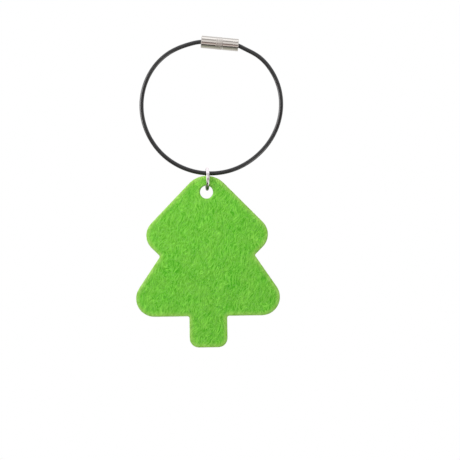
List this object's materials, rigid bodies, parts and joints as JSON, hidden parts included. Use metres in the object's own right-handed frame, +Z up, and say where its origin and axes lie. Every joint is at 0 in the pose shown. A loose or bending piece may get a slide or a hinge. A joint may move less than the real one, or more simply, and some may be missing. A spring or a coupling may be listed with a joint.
{
  "type": "felt christmas tree charm",
  "caption": "Flat die-cut felt Christmas tree hung by a jump ring from a coated cable loop that a screw clasp closes.",
  "frame": {"origin": "inner top of the cable loop: the point on the clasp's underside straight above the jump ring, where a hook or finger holds the charm up", "axes": "+X to the right with the stud barrel at the right end of the clasp, +Y away from the viewer and square to the felt, +Z up"},
  "size_m": [0.0515, 0.0082, 0.1092],
  "materials": {
    "lime_felt": "matte wool felt",
    "bright_nickel": "bright nickel plate",
    "black_nylon": "smooth black nylon coat",
    "steel_rope": "bright wire rope",
    "satin_nickel": "satin nickel plate on turned brass",
    "drawn_brass": "drawn tube"
  },
  "bodies": {
    "loop": {"cable_jacket": "black_nylon", "cable_core": "steel_rope", "stud_barrel": "satin_nickel"},
    "free_end": {"end_ferrule": "drawn_brass"},
    "nut": {"nut_barrel": "satin_nickel"},
    "ring": {"jump_ring": "bright_nickel"},
    "tree": {"felt_tree": "lime_felt"}
  },
  "joints": [
    {"name": "loop_open", "type": "hinge", "parent": "loop", "child": "free_end", "pos_m": [0, 0, -0.04366], "axis": [0, -1, 0], "range_deg": [0, 30], "stiffness_Nm_per_rad": 0.003, "deforming": ["cable_jacket", "cable_core"]},
    {"name": "nut_turn", "type": "hinge", "parent": "free_end", "child": "nut", "pos_m": [0.00561, 0, 0.00169], "axis": [0.9957, 0, -0.0924], "continuous": true},
    {"name": "ring_swing", "type": "hinge", "parent": "loop", "child": "ring", "pos_m": [0, 0, -0.04366], "axis": [0.9981, 0, -0.0619], "range_deg": [-150, 150]},
    {"name": "tree_swing", "type": "hinge", "parent": "ring", "child": "tree", "pos_m": [0.00025, 0, -0.04926], "axis": [0, 1, 0], "range_deg": [-10, 13]}
  ]
}
